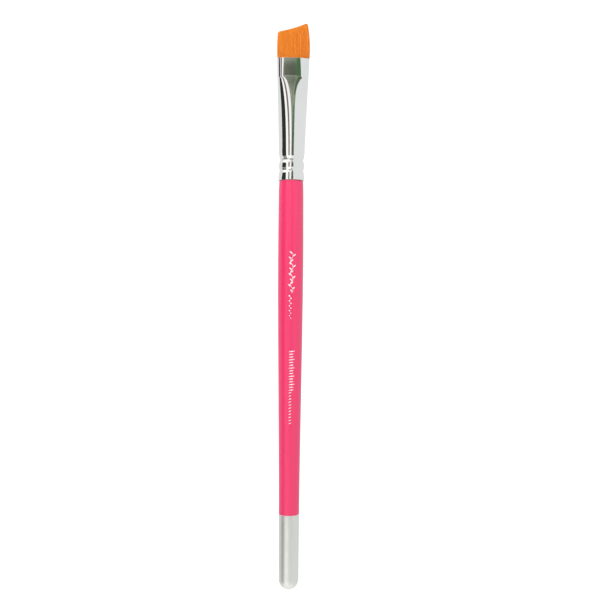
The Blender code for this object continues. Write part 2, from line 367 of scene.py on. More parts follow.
def capped_skin(rings):
    """The same over rings that aren't joined up, with a flat cap on the first and on the last."""
    verts, faces = ring_skin(rings, False)
    count = len(rings[0])
    faces.append(tuple(range(count)))
    faces.append(tuple(range(len(verts) - count, len(verts))))
    return verts, faces


def outward(obj):
    """Turns every face of a closed piece outward."""
    bm = bmesh.new()
    bm.from_mesh(obj.data)
    bmesh.ops.recalc_face_normals(bm, faces=bm.faces)
    bm.to_mesh(obj.data)
    bm.free()


# ---------------------------------------------------------------- materials


def colour_ramp(tree, source, stops):
    """A colour ramp from (place, colour) stops, fed by a source."""
    ramp = tree.nodes.new("ShaderNodeValToRGB")
    elements = ramp.color_ramp.elements
    while len(elements) < len(stops):
        elements.new(0.5)
    for element, (place, colour) in zip(elements, stops):
        element.position = place
        element.color = (*colour, 1.0)
    tree.links.new(source, ramp.inputs["Fac"])
    return ramp.outputs["Color"]


def colour_product(tree, first, second, share=1.0):
    """One colour times another, at a share."""
    mix = tree.nodes.new("ShaderNodeMix")
    mix.data_type = "RGBA"
    mix.blend_type = "MULTIPLY"
    factor, colour_a, colour_b = mix.inputs[0], mix.inputs[6], mix.inputs[7]
    factor.default_value = share
    tree.links.new(first, colour_a)
    tree.links.new(second, colour_b)
    return mix.outputs[2]


class Surface:
    """A material under construction: a Principled BSDF and short ways to feed it."""

    def __init__(self, name, colour, roughness, metallic=0.0):
        self.material = bpy.data.materials.new(name)
        self.material.use_nodes = True
        self.tree = self.material.node_tree
        self.shader = self.tree.nodes["Principled BSDF"]
        self.shader.inputs["Base Color"].default_value = (*colour, 1.0)
        self.shader.inputs["Roughness"].default_value = roughness
        self.shader.inputs["Metallic"].default_value = metallic

    def node(self, kind, **values):
        made = self.tree.nodes.new(kind)
        for name, value in values.items():
            made.inputs[name].default_value = value
        return made

    def link(self, source, target):
        self.tree.links.new(source, target)

    def position(self, stretch=(1.0, 1.0, 1.0)):
        """The point on the surface, in metres, scaled by stretch."""
        place = self.node("ShaderNodeTexCoord")
        mapping = self.node("ShaderNodeMapping", Scale=stretch)
        self.link(place.outputs["Object"], mapping.inputs["Vector"])
        return mapping.outputs["Vector"]

    def noise(self, scale, stretch=(1.0, 1.0, 1.0), detail=2.0):
        texture = self.node("ShaderNodeTexNoise", Scale=scale, Detail=detail)
        self.link(self.position(stretch), texture.inputs["Vector"])
        return texture.outputs["Fac"]

    def remap(self, source, low, high, to_low, to_high):
        """Source from low..high to to_low..to_high, clamped."""
        limits = {"From Min": low, "From Max": high, "To Min": to_low, "To Max": to_high}
        mapped = self.node("ShaderNodeMapRange", **limits)
        self.link(source, mapped.inputs["Value"])
        return mapped.outputs["Result"]

    def ramp(self, source, *stops):
        return colour_ramp(self.tree, source, stops)

    def multiply(self, colour, factor, share):
        """Colour darkened or lightened by a grey factor, at a share."""
        return colour_product(self.tree, colour, factor, share)

    def colour(self, socket):
        self.link(socket, self.shader.inputs["Base Color"])

    def roughness(self, socket):
        self.link(socket, self.shader.inputs["Roughness"])

    def bump(self, source, strength, distance, below=None):
        bump = self.node("ShaderNodeBump", Strength=strength, Distance=distance)
        self.link(source, bump.inputs["Height"])
        if below is not None:
            self.link(below, bump.inputs["Normal"])
        self.link(bump.outputs["Normal"], self.shader.inputs["Normal"])
        return bump.outputs["Normal"]

    def attribute(self, name):
        found = self.tree.nodes.new("ShaderNodeAttribute")
        found.attribute_name = name
        return found.outputs["Fac"]


def pink_material():
    """Satin lacquer: soft clouding, faint orange peel, and lengthwise polishing marks."""
    made = Surface("pink_lacquer", (1.0, 0.07, 0.18), 0.36)
    clouds = made.noise(55.0, (1.0, 1.0, 0.25), 3.0)
    made.colour(
        made.ramp(clouds, (0.3, (0.91, 0.020, 0.140)), (0.7, (0.94, 0.025, 0.152)))
    )
    made.roughness(made.remap(made.noise(260.0, (1.0, 1.0, 0.3)), 0.3, 0.7, 0.28, 0.34))
    peel = made.bump(made.noise(900.0), 0.10, 0.00002)
    made.bump(made.noise(4000.0, (1.0, 1.0, 0.04)), 0.05, 0.000008, peel)
    made.shader.inputs["Specular IOR Level"].default_value = 0.85
    return made.material


def silver_material():
    """Pearl lacquer: a pale metal body with fine flakes under a satin skin."""
    made = Surface("silver_pearl", (0.62, 0.63, 0.59), 0.34, 0.85)
    flakes = made.node("ShaderNodeTexVoronoi", Scale=7000.0)
    made.link(made.position(), flakes.inputs["Vector"])
    body = made.ramp(
        made.noise(70.0, (1.0, 1.0, 0.3), 3.0),
        (0.3, (0.800, 0.805, 0.770)),
        (0.7, (0.860, 0.865, 0.835)),
    )
    glint = made.ramp(flakes.outputs["Color"], (0.0, (0.84,) * 3), (1.0, (1.0,) * 3))
    made.colour(made.multiply(body, glint, 0.45))
    made.roughness(made.remap(made.noise(400.0), 0.3, 0.7, 0.36, 0.44))
    made.bump(made.noise(1100.0), 0.10, 0.00002)
    return made.material


def chrome_material():
    """Bright plating: nearly a mirror, with drawing marks and a little haze from handling."""
    made = Surface("ferrule_plating", (0.71, 0.715, 0.71), 0.06, 1.0)
    haze = made.noise(160.0, (1.0, 1.0, 0.5), 4.0)
    made.roughness(made.remap(haze, 0.35, 0.8, 0.035, 0.11))
    made.colour(made.ramp(haze, (0.3, (0.885, 0.89, 0.885)), (0.7, (0.92, 0.92, 0.915))))
    dents = made.bump(made.noise(330.0, (1.0, 1.0, 0.6)), 0.12, 0.00003)
    made.bump(made.noise(9000.0, (1.0, 1.0, 0.02)), 0.04, 0.000004, dents)
    return made.material


def filament_material():
    """Synthetic fibre: one shade a fibre, darker at its root as painted shade by the mouth, and paler
    towards its finer tip as painted light through the thin tips.
    """
    # The root colour is painted shade by the mouth; the tip colour is painted light, for thin tips lit
    # through.
    shaded_root, body, tip = (0.90, 0.265, 0.013), (0.93, 0.275, 0.013), (1.0, 0.33, 0.02)
    made = Surface("filament", body, 0.42)
    along = made.ramp(made.attribute("along"), (0.0, shaded_root), (0.35, body), (0.8, body), (1.0, tip))
    tint = made.ramp(made.attribute("tint"), (0.0, (0.92,) * 3), (1.0, (1.0,) * 3))
    made.colour(made.multiply(along, tint, 0.8))
    made.roughness(made.remap(made.attribute("tint"), 0.0, 1.0, 0.36, 0.5))
    made.shader.inputs["Specular IOR Level"].default_value = 0.4
    return made.material


def wood_material():
    """Bare turned birch: pale, with long fine grain."""
    made = Surface("birch", (0.72, 0.52, 0.33), 0.6)
    grain = made.noise(900.0, (1.0, 1.0, 0.05), 4.0)
    made.colour(made.ramp(grain, (0.35, (0.60, 0.40, 0.23)), (0.65, (0.78, 0.60, 0.40))))
    made.bump(grain, 0.3, 0.00005)
    return made.material


def resin_material(name, dark, light, roughness):
    """Set adhesive or resin: clouded, with small bubbles in its surface."""
    made = Surface(name, light, roughness)
    made.colour(made.ramp(made.noise(700.0, detail=4.0), (0.3, dark), (0.7, light)))
    made.bump(made.noise(2500.0), 0.3, 0.00003)
    return made.material


def ink_material():
    """White pad print, a little thin in places."""
    made = Surface("print_ink", (0.93, 0.86, 0.87), 0.45)
    cover = made.noise(3500.0, detail=3.0)
    made.colour(made.ramp(cover, (0.25, (0.90, 0.66, 0.70)), (0.5, (0.95, 0.90, 0.90))))
    made.bump(cover, 0.2, 0.00001)
    return made.material


# ---------------------------------------------------------------- handle


def handle_radius(height):
    """Outside radius of the lacquered handle at a height, smooth through its stations."""
    height -= TAIL
    stations = HANDLE_STATIONS
    last = len(stations) - 2
    index = min(sum(height > z for z, _ in stations[1:]), last)
    (z0, r0), (z1, r1) = stations[index], stations[index + 1]

    def slope(i):
        low, high = stations[max(i - 1, 0)], stations[min(i + 1, last + 1)]
        return (high[1] - low[1]) / (high[0] - low[0])

    span = z1 - z0
    t = (height - z0) / span
    start = (1 + 2 * t) * (1 - t) ** 2 * r0 + t * (1 - t) ** 2 * span * slope(index)
    end = t * t * (3 - 2 * t) * r1 - t * t * (1 - t) * span * slope(index + 1)
    return start + end


def circle(radius, height, wave):
    """Points round Z. wave moves a point's height by its angle."""
    ring = []
    for i in range(HANDLE_SIDES):
        angle = 2 * math.pi * i / HANDLE_SIDES
        ring.append((radius * math.cos(angle), radius * math.sin(angle), height + wave(angle)))
    return ring


def edge_round(height, edge):
    """How far a skin draws in near its edge, so that its rim is rounded and not a knife edge."""
    share = max(1 - abs(height - edge) / SKIN_EDGE, 0.0)
    return SKIN_EDGE * (1 - math.sqrt(1 - share * share))


def dip_wave(height, edge):
    """The dip line isn't quite level: it waves where the lacquer drained, less away from the edge."""
    fade = eased(1 - abs(height - edge) / DIP_WAVE_REACH)

    def wave(angle):
        return fade * sum(size * math.sin(count * angle + phase) for size, count, phase in DIP_WAVES)

    return wave


def rim_heights(edge, towards):
    """Heights that crowd at a rounded rim, from the edge inward."""
    return [edge + towards * SKIN_EDGE * (1 - math.cos(a)) for a in spread(0, math.pi / 2, 6)]


def make_pink_lacquer():
    """The pink skin, with a rounded rim at the ferrule and a drained rim at the silver."""
    low = DIP_TOP + SKIN_GAP
    heights = rim_heights(low, 1)
    heights += spread(low + 2 * SKIN_EDGE, HANDLE_TOP - 2 * SKIN_EDGE, 130)
    heights += rim_heights(HANDLE_TOP, -1)[::-1]
    rings = []
    for height in heights:
        draw = edge_round(height, low) * DRAINED_EDGE_SHARE + edge_round(height, HANDLE_TOP)
        rings.append(circle(handle_radius(height) - draw, height, dip_wave(height, low)))
    for height in (HANDLE_TOP, low):
        rings.append(circle(handle_radius(height) - SKIN, height, dip_wave(height, low)))
    verts, faces = ring_skin(rings, True)
    made = mesh_object("pink_lacquer_skin", verts, faces, pink_material())
    outward(made)
    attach(made, "handle")
    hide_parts("pink_lacquer")


def tail_arc(inset, angles):
    """(radius, height) points round the tail's end, an inset inside its outer face."""
    radius = TAIL_RADIUS - inset
    return [(radius * math.sin(a), TAIL + inset + radius * (1 - math.cos(a))) for a in angles]


def make_silver_dip():
    """The silver skin: a cup with a round tail, whose rim meets the pink one flush."""
    top = DIP_TOP - SKIN_GAP
    wall_foot = TAIL + TAIL_RADIUS
    outline = tail_arc(0.0, spread(TAIL_CAP_ANGLE, math.pi / 2, 26))
    outline += [(handle_radius(z), z) for z in spread(wall_foot, top, 60)[1:]]
    outline += [(handle_radius(z) - SKIN, z) for z in spread(top, wall_foot, 20)]
    outline += tail_arc(SKIN, spread(math.pi / 2, INNER_CAP_ANGLE, 12)[1:])
    rings = [circle(radius, height, dip_wave(height, top)) for radius, height in outline]
    verts, faces = capped_skin(rings)
    made = mesh_object("silver_dip_skin", verts, faces, silver_material())
    outward(made)
    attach(made, "handle")
    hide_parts("silver_dip")


# ---------------------------------------------------------------- print


def wrap(side, height, lift):
    """A point on the handle's front, side metres round it to the right of the middle."""
    radius = handle_radius(height) + lift
    angle = side / handle_radius(height)
    return (radius * math.sin(angle), -radius * math.cos(angle), height)


def print_patch(verts, faces, outline, middle):
    """One closed thin patch of ink: an outline of (side, height) round a middle point."""
    first = len(verts)
    count = len(outline)
    for lift in (INK_PROUD, INK_SUNK):
        verts.extend(wrap(side, height, lift) for side, height in outline)
    verts.append(wrap(*middle, INK_PROUD))
    verts.append(wrap(*middle, INK_SUNK))
    top_middle, low_middle = first + 2 * count, first + 2 * count + 1
    for i in range(count):
        j = (i + 1) % count
        faces.append((first + i, first + j, top_middle))
        faces.append((first + count + j, first + count + i, low_middle))
        faces.append((first + j, first + i, first + count + i, first + count + j))


def oval_outline(middle, half_width, half_height, tilt=0.0, points=14, pointed=0.0):
    """An oval, or a leaf where pointed is near 1, turned by tilt."""
    outline = []
    for i in range(points):
        angle = 2 * math.pi * i / points
        taper = 1 - pointed * abs(math.sin(angle)) ** 3
        x = half_width * math.cos(angle) * taper
        y = half_height * math.sin(angle)
        turned_x = x * math.cos(tilt) - y * math.sin(tilt)
        turned_y = x * math.sin(tilt) + y * math.cos(tilt)
        outline.append((middle[0] + turned_x, middle[1] + turned_y))
    return outline


def stem_half_width(share):
    """Half the stem's width at a share of its length: thin at both tips."""
    swell = math.sin(math.pi * min(max(share, STEM_TIP_FROM), 1 - STEM_TIP_FROM)) ** 0.5
    return STEM_HALF_WIDTH * (STEM_TIP_SHARE + (1 - STEM_TIP_SHARE) * swell)


def print_stem(verts, faces, path):
    """A thin closed ribbon of ink along a path of (side, height) points."""
    first = len(verts)
    count = len(path)
    for i, (side, height) in enumerate(path):
        before, after = path[max(i - 1, 0)], path[min(i + 1, count - 1)]
        run = Vector((after[0] - before[0], after[1] - before[1])).normalized()
        half = stem_half_width(i / (count - 1))
        for sign in (-half, half):
            for lift in (INK_PROUD, INK_SUNK):
                verts.append(wrap(side - sign * run.y, height + sign * run.x, lift))
    for i in range(count - 1):
        a, b = first + 4 * i, first + 4 * (i + 1)
        faces.append((a, a + 2, b + 2, b))
        faces.append((a + 3, a + 1, b + 1, b + 3))
        faces.append((a + 1, a, b, b + 1))
        faces.append((a + 2, a + 3, b + 3, b + 2))
    end = first + 4 * (count - 1)
    faces.append((first, first + 1, first + 3, first + 2))
    faces.append((end + 2, end + 3, end + 1, end))


def stem_point(share):
    """(side, height) of the waving stem's middle at a share of its length, from the top."""
    height = SPRIG_TOP + (SPRIG_FOOT - SPRIG_TOP) * share
    return PRINT_MIDDLE + SPRIG_SWING * math.sin(share * SPRIG_WAVES * 2 * math.pi), height


def make_sprig(verts, faces):
    """A waving stem with leaves at both sides, and a tail of shrinking dots."""
    print_stem(verts, faces, [stem_point(share) for share in spread(0, 1, STEM_STEPS)])
    for i in range(LEAF_COUNT):
        side, height = stem_point((i + LEAF_START) / LEAF_COUNT)
        way = 1 if i % 2 else -1
        length = LEAF_HALF_LENGTH * (1 - LEAF_SHRINK * i / LEAF_COUNT)
        middle = (side + way * LEAF_REACH, height + length * LEAF_LIFT)
        tilt = -way * LEAF_TILT
        outline = oval_outline(middle, LEAF_HALF_WIDTH, length, tilt, LEAF_POINTS, LEAF_POINTED)
        print_patch(verts, faces, outline, middle)
    for i in range(DOT_COUNT):
        size = DOT_RADIUS - DOT_SHRINK * i
        side = PRINT_MIDDLE - DOT_LEFT + (DOT_SWING if i % 2 else -DOT_SWING)
        middle = (side, SPRIG_FOOT - DOT_START - DOT_PITCH * i)
        print_patch(verts, faces, oval_outline(middle, size, size), middle)


def make_bar_row(verts, faces):
    """A row of short bars of two lengths, and a thin tail of slanted dashes."""
    longest = max(BAR_HALF_LENGTHS)
    for i in range(BAR_COUNT):
        half = BAR_HALF_LENGTHS[i % len(BAR_HALF_LENGTHS)]
        side = PRINT_MIDDLE + (half - longest) * BAR_ALIGN + BAR_RIGHT
        middle = (side, BAR_TOP - BAR_PITCH * i)
        print_patch(verts, faces, oval_outline(middle, half, BAR_HALF_HEIGHT, BAR_TILT), middle)
    for i in range(DASH_COUNT):
        middle = (PRINT_MIDDLE - DASH_LEFT, BAR_TOP - BAR_PITCH * BAR_COUNT - DASH_PITCH * i)
        outline = oval_outline(middle, DASH_HALF_LENGTH, DASH_HALF_HEIGHT, DASH_TILT)
        print_patch(verts, faces, outline, middle)


def make_print():
    """Plain white ornament: it stands where the handle is printed, and spells nothing."""
    verts, faces = [], []
    make_sprig(verts, faces)
    make_bar_row(verts, faces)
    made = mesh_object("handle_print", verts, faces, ink_material(), smooth=False)
    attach(made, "handle")


# ---------------------------------------------------------------- ferrule


def lean(height):
    """How far the ferrule and tuft stand to the right of the handle's axis at a height."""
    return FERRULE_LEAN * (min(max(height, FERRULE_FOOT), MOUTH) - FERRULE_FOOT)


def tube_half_width(height):
    """Half the ferrule's outside width along X, without its crimps."""
    if height > ROUND_END:
        share = (height - ROUND_END) / (MOUTH - ROUND_END)
        return TUBE_RADIUS + (MOUTH_HALF_WIDTH - TUBE_RADIUS) * share
    share = (height - FERRULE_FOOT) / (ROUND_END - FERRULE_FOOT)
    return FOOT_RADIUS + (TUBE_RADIUS - FOOT_RADIUS) * share


def crimp_depth(height, angle):
    """How deep the crimping wheel pressed: a wide groove with a notch, in slanted segments."""
    depth = 0.0
    for row, (middle, full, below, above) in enumerate(CRIMPS):
        offset = (height - middle) / (above if height > middle else below)
        if abs(offset) >= 1:
            continue
        away = math.sqrt(offset**2 + CRIMP_SOFTNESS**2) - CRIMP_SOFTNESS
        groove = (1 - CRIMP_NOTCH) * max(1 - away, 0.0)
        groove += CRIMP_NOTCH * max(1 - away / CRIMP_NOTCH_REACH, 0.0)
        turn = CRIMP_SEGMENTS * (angle + CRIMP_SLANT * offset + CRIMP_ROW_TURN * row) / 2
        ridge = math.cos(turn) ** CRIMP_RIDGE_POWER
        depth += full * groove * (1 - CRIMP_RIDGE * ridge * groove)
    return depth


def panel_half_width(height):
    """Half the width of the flat across the ferrule's front: full on the panel, none on the tube."""
    share = (height - ROUND_END) / (PANEL_FOOT - ROUND_END)
    return PANEL_HALF_WIDTH * min(max(share, 0.0), 1.0) ** FLATTENING_POWER


def plain_half_depth(height):
    """Half the ferrule's depth along Y, sharp at the panel's foot."""
    if height <= ROUND_END:
        return tube_half_width(height)
    height = min(height, PANEL_FOOT)
    flat = panel_half_width(height)
    drawn = (1 - MOUTH_GIRTH_SHARE) * (height - ROUND_END) / (PANEL_FOOT - ROUND_END)
    girth = 2 * math.pi * TUBE_RADIUS * (1 - drawn)
    return (girth - 4 * flat) / math.pi - (tube_half_width(height) - flat)


def tube_half_depth(height):
    """The same, with the bend at the panel's foot softened over a short length."""
    if abs(height - PANEL_FOOT) >= FOOT_SOFTNESS:
        return plain_half_depth(height)
    samples = spread(height - FOOT_SOFTNESS, height + FOOT_SOFTNESS, FOOT_SAMPLES)
    return sum(plain_half_depth(z) for z in samples) / len(samples)


def facet_places(height):
    """Places across the ferrule, from left to right, that face by FACINGS at a height."""
    below = PANEL_FOOT - height
    places = []
    for facing, mouth, foot, top, reach, power in FACETS:
        if below <= 0:
            places.append(foot + (foot - mouth) * below / (MOUTH - PANEL_FOOT))
            continue
        tube = math.sin(math.radians(facing))
        funnel = tube + (top - tube) * math.exp(-((below / reach) ** power))
        places.append(foot + (funnel - foot) * min(below / CREASE, 1.0))
    return places


def facing_at(across, places):
    """Which way the front faces, in radians: between two places it turns like part of a circle."""
    turns = [math.asin(place) for place in places]
    return math.radians(np.interp(math.asin(across), turns, FACINGS))


def end_facing(across, mark, bend):
    """The same between a mark and the edge, where bend 1 is round and a smaller one is flatter."""
    turn = (math.pi / 2 - math.asin(across)) / (math.pi / 2 - math.asin(mark))
    return math.radians(90 - (90 - FACINGS[-1]) * turn**bend)


def end_points(side, mark, start, depth):
    """Points of one end of the front, from its mark out to its edge, bent to rise to the depth."""
    cells = [(u, du) for u, du in CELLS if u > abs(mark)]
    low, high = FLATTEST_BEND, ROUNDEST_BEND
    for _ in range(BEND_HALVINGS):
        bend = (low + high) / 2
        steps = [math.tan(end_facing(u, abs(mark), bend)) * du for u, du in cells]
        if sum(steps) > depth - start:
            high = bend
        else:
            low = bend
    points = []
    for (u, _), step in zip(cells, steps):
        points.append((side * u, start + step / 2))
        start += step
    return points


def front_curve(height, depth):
    """The ferrule's front at a height: (across, rise) points from left to right.

    Both are shares of half the width, and the rise is counted from the front's deepest line. The
    middle is worked out from the way it faces, and the ends then rise to the asked depth.
    """
    places = facet_places(height)
    left, right = places[0], places[-1]
    cells = [(u, du) for u, du in CELLS if abs(u) <= abs(left if u < 0 else right)]
    rise, middle = 0.0, []
    for u, du in cells:
        step = du * math.tan(facing_at(u, places))
        middle.append((u, rise + step / 2))
        rise += step
    deepest = min(out for _, out in middle)
    middle = [(u, out - deepest) for u, out in middle]
    left_end = end_points(-1, left, -deepest, depth)
    return left_end[::-1] + middle + end_points(1, right, rise - deepest, depth)


def mouth_draw(height):
    """The mouth's edge draws in a little."""
    share = max(1 - (MOUTH - height) / MOUTH_DRAW_REACH, 0.0)
    return MOUTH_DRAW * share * share


def tube_ring(height, inset):
    """Points of the ferrule's section at a height, an inset inside its outer face."""
    half_width = tube_half_width(height) + PLATING
    half_depth = tube_half_depth(height) + PLATING - mouth_draw(height)
    curve = front_curve(height, half_depth / half_width)
    ring = []
    for side in (1, -1):
        for across, rise in curve:
            x = across * (half_width - inset)
            y = (rise * half_width - half_depth) * (1 - inset / half_depth)
            press = crimp_depth(height, math.atan2(side * y, side * x))
            shrink = 1 - press / TUBE_RADIUS
            ring.append((side * x * shrink + lean(height), side * y * shrink, height))
    return ring


def ferrule_heights():
    """Heights up the ferrule, closer together at the crimps, at the panel's foot and at the mouth."""
    crimp_top = CRIMPS[-1][0] + CRIMPS[-1][3]
    bend_low, bend_high = PANEL_FOOT - 2 * FOOT_SOFTNESS, PANEL_FOOT + 2 * FOOT_SOFTNESS
    heights = spread(FERRULE_FOOT, crimp_top, 84)
    heights += spread(crimp_top, bend_low, 60)[1:]
    heights += spread(bend_low, bend_high, 26)[1:]
    heights += spread(bend_high, MOUTH - MOUTH_LIP, 14)[1:]
    return heights + spread(MOUTH - MOUTH_LIP, MOUTH, 12)[1:]


def make_ferrule():
    """The plated tube: crimped in slanted segments, funnelled from round to flat, with a soft lip."""
    heights = ferrule_heights()
    rings = [tube_ring(z, 0.0) for z in heights]
    rings += [tube_ring(z, WALL) for z in heights[::-3]]
    verts, faces = ring_skin(rings, True)
    made = mesh_object("ferrule_tube", verts, faces, chrome_material())
    outward(made)
    rim = made.modifiers.new("Rim", "BEVEL")
    rim.width = LIP_BEVEL
    rim.segments = LIP_BEVEL_STEPS
    rim.limit_method = "ANGLE"
    rim.angle_limit = LIP_BEVEL_ANGLE
    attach(made, "handle")
    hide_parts("ferrule")


# ---------------------------------------------------------------- tuft


def cut_height(x):
    """Height of the slanted, slightly hollow cut above the mouth."""
    return CUT_MIDDLE + CUT_SLOPE * x + CUT_CURVE * x * x


def side_reach(height, base, start, lean_in):
    """How far one side of the tuft stands out: a small belly, then a slow lean inward."""
    belly = TUFT_BELLY * (1 - (1 - min(max(height, 0.0) / start, 1.0)) ** 2)
    return base + belly - lean_in * max(height - start, 0.0) ** 2


def tuft_depth_share(share):
    """Share of the full depth at a share of the tuft's height: a low belly, then a long taper."""
    share = min(max(share, 0.0), 1.0)
    belly = 1 + DEPTH_BELLY * math.sin(math.pi * min(share / DEPTH_BELLY_END, 1.0))
    return belly * (1 - (1 - CHISEL_SHARE) * share**CHISEL_POWER)


def mouth_opening():
    """The front of the mouth's opening: (across, depth) from left to right, clear of the wall."""
    points = tube_ring(MOUTH, WALL + MOUTH_CLEARANCE * FILAMENT_RADIUS)
    front = points[: len(points) // 2]
    return [x - lean(MOUTH) for x, _, _ in front], [-y for _, y, _ in front]


def filament_bases(draw):
    """Seats of the fibres in the mouth: (across, depth) shares of a packed, slightly shaken grid."""
    half_width = MOUTH_HALF_WIDTH - WALL - FILAMENT_RADIUS
    across, depth = mouth_opening()
    seats = []
    row_step = FILAMENT_SPACING * math.sqrt(3) / 2
    rows = int(max(depth) / row_step)
    columns = int(half_width / FILAMENT_SPACING)
    for column in range(-columns, columns + 1):
        for row in range(-rows, rows + 1):
            x = (column + 0.5 * (row % 2)) * FILAMENT_SPACING
            x += draw.uniform(-SEAT_SHAKE, SEAT_SHAKE) * FILAMENT_SPACING
            y = row * row_step + draw.uniform(-SEAT_SHAKE, SEAT_SHAKE) * FILAMENT_SPACING
            front = np.interp(x, across, depth)
            back = np.interp(-x, across, depth)
            if abs(x) < half_width and -front < y < back:
                seats.append((x / half_width, y / TUFT_HALF_DEPTH))
    return seats


def corner_drop(across):
    """How much shorter the fibres are at the tuft's two corners."""
    right = RIGHT_CORNER_DROP * eased((across - CORNER_FROM) / (1 - CORNER_FROM))
    return right + LEFT_CORNER_DROP * eased((-across - CORNER_FROM) / (1 - CORNER_FROM))


def filament_line(seat, draw):
    """Points up one fibre's middle, from inside the ferrule to its tip, each with its share."""
    across, layer = seat
    inside, start, lean_in = TUFT_EDGES["right" if across > 0 else "left"]
    base = MOUTH_HALF_WIDTH - inside
    tip = cut_height(across * base * CUT_WIDTH_SHARE) + draw.gauss(0.0, TIP_SCATTER)
    tip -= CUT_LAYER_DROP * layer * layer + corner_drop(across)
    wander = draw.uniform(-1, 1) * WANDER
    phase = draw.uniform(0, math.pi)
    clump_place = (across * CLUMPS_ACROSS, layer * CLUMPS_DEEP, CLUMP_SLICE)
    clump = CLUMP * noise.noise(Vector(clump_place))
    points = []
    for share in spread(0.0, 1.0, FILAMENT_RINGS):
        height = FILAMENT_ROOT + (tip - FILAMENT_ROOT) * share**RING_CROWDING
        up = max(height, 0.0) / tip
        tucked = WALL * eased(1 - height / TUCK_HEIGHT)
        x = across * (side_reach(height, base, start, lean_in) - tucked)
        x += wander * math.sin(phase + WANDER_TURN_ACROSS * up) * min(up / WANDER_FULL_FROM, 1.0)
        x += clump * up * up
        y = layer * TUFT_HALF_DEPTH * tuft_depth_share(up)
        y += wander * math.cos(phase + WANDER_TURN_DEEP * up) * up * WANDER_DEEP_SHARE
        points.append((x + lean(MOUTH + height), y, MOUTH + height, up))
    return points


def filament_width(up):
    """A fibre's radius: nine tenths are left half way up, and then it tapers to a finer tip."""
    return FILAMENT_RADIUS * (1 - (1 - FILAMENT_TIP_SHARE) * up**FILAMENT_TAPER_POWER)


class Bundle:
    """The fibres of one lock, gathered into one mesh."""

    def __init__(self):
        self.verts = []
        self.faces = []
        self.along = []
        self.tint = []

    def add(self, points, tint, turn):
        """Adds one fibre: a thin tube along the points, closed at its root and at its tip."""
        first = len(self.verts)
        sides = FILAMENT_SIDES
        for x, y, z, up in points:
            radius = filament_width(up)
            for i in range(sides):
                angle = turn + 2 * math.pi * i / sides
                self.verts.append((x + radius * math.cos(angle), y + radius * math.sin(angle), z))
                self.along.append(up)
                self.tint.append(tint)
        for ring in range(len(points) - 1):
            low, high = first + ring * sides, first + (ring + 1) * sides
            for i in range(sides):
                j = (i + 1) % sides
                self.faces.append((low + i, low + j, high + j, high + i))
        self.faces.append(tuple(first + i for i in reversed(range(sides))))
        last = first + (len(points) - 1) * sides
        self.faces.append(tuple(last + i for i in range(sides)))

    def make(self, name, material):
        made = mesh_object(name, self.verts, self.faces, material)
        for label, values in (("along", self.along), ("tint", self.tint)):
            attribute = made.data.attributes.new(label, "FLOAT", "POINT")
            attribute.data.foreach_set("value", np.array(values, np.float32))
        return made


def make_tuft():
    """Every fibre, in the same locks as the frame's."""
    draw = random.Random(SEED)
    material = filament_material()
    bundles = {}
    for across, layer in filament_bases(draw):
        column = min(int((across + 1) / 2 * LOCK_COLUMNS), LOCK_COLUMNS - 1)
        key = ("front" if layer < 0 else "back", column + 1)
        points = filament_line((across, layer), draw)
        tint = min(max(draw.gauss(TINT_MEAN, TINT_SPREAD), 0.0), 1.0)
        bundles.setdefault(key, Bundle()).add(points, tint, draw.uniform(0, math.pi))
    for (layer, column), bundle in sorted(bundles.items()):
        made = bundle.make(f"filaments_{layer}_{column}", material)
        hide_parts(f"filament_lock_{layer}_{column}")
        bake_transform(made)


def bed_inset(height):
    """How far the roots stay inside the ferrule's outer face: further near the mouth and above it."""
    below = (height - (MOUTH - BED_TAPER_BELOW)) / BED_TAPER_BELOW
    above = (height - MOUTH) / BED_RISE
    return BED_INSET + BED_TAPER * (eased(below) + eased(above) ** 2)


def make_filament_bed():
    """The resin-bound roots, slimmer than the fibres round them, so that they stay covered."""
    low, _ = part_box("filament_roots")
    rings = []
    for height in spread(low.z, MOUTH + BED_RISE, 26):
        section = tube_ring(min(height, MOUTH), bed_inset(height))
        rings.append([(x, y, height) for x, y, _ in section])
    verts, faces = capped_skin(rings)
    roots = resin_material("bound_filament", (0.42, 0.10, 0.012), (0.66, 0.18, 0.025), 0.5)
    made = mesh_object("filament_bed", verts, faces, roots)
    outward(made)
    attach(made, "handle")
    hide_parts("filament_roots")


def make_resin_cup():
    """The set resin that the roots stand in, cast to the ferrule's own inside."""
    low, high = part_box("epoxy_plug")
    roots_low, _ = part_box("filament_roots")
    floor = roots_low.z - CUP_GAP
    rings = [tube_ring(height, WALL + CUP_GAP) for height in spread(low.z, high.z, 24)]
    rings += [tube_ring(height, BED_INSET - CUP_GAP) for height in spread(high.z, floor, 14)]
    verts, faces = capped_skin(rings)
    resin = resin_material("resin", (0.42, 0.27, 0.07), (0.62, 0.45, 0.16), 0.25)
    made = mesh_object("resin_cup", verts, faces, resin)
    outward(made)
    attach(made, "handle")
    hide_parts("epoxy_plug")


# ---------------------------------------------------------------- hidden CAD pieces


def dress_hidden_nodes():
    """The CAD pieces inside the brush stay as they are, and get their real materials."""
    finishes = {
        "handle_core": wood_material(),
        "tenon_glue": resin_material("glue", (0.72, 0.62, 0.38), (0.88, 0.82, 0.62), 0.4),
    }
    for name, material in finishes.items():
        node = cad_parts[name]
        node.data.materials.clear()
        node.data.materials.append(material)


# ---------------------------------------------------------------- stage, light and camera


def emission_material(name, colour):
    """A plain glowing card: its colour is its light."""
    material = bpy.data.materials.new(name)
    material.use_nodes = True
    tree = material.node_tree
    tree.nodes.clear()
    glow = tree.nodes.new("ShaderNodeEmission")
    glow.inputs["Color"].default_value = (*colour, 1.0)
    glow.inputs["Strength"].default_value = 1.0
    out = tree.nodes.new("ShaderNodeOutputMaterial")
    tree.links.new(glow.outputs["Emission"], out.inputs["Surface"])
    return material


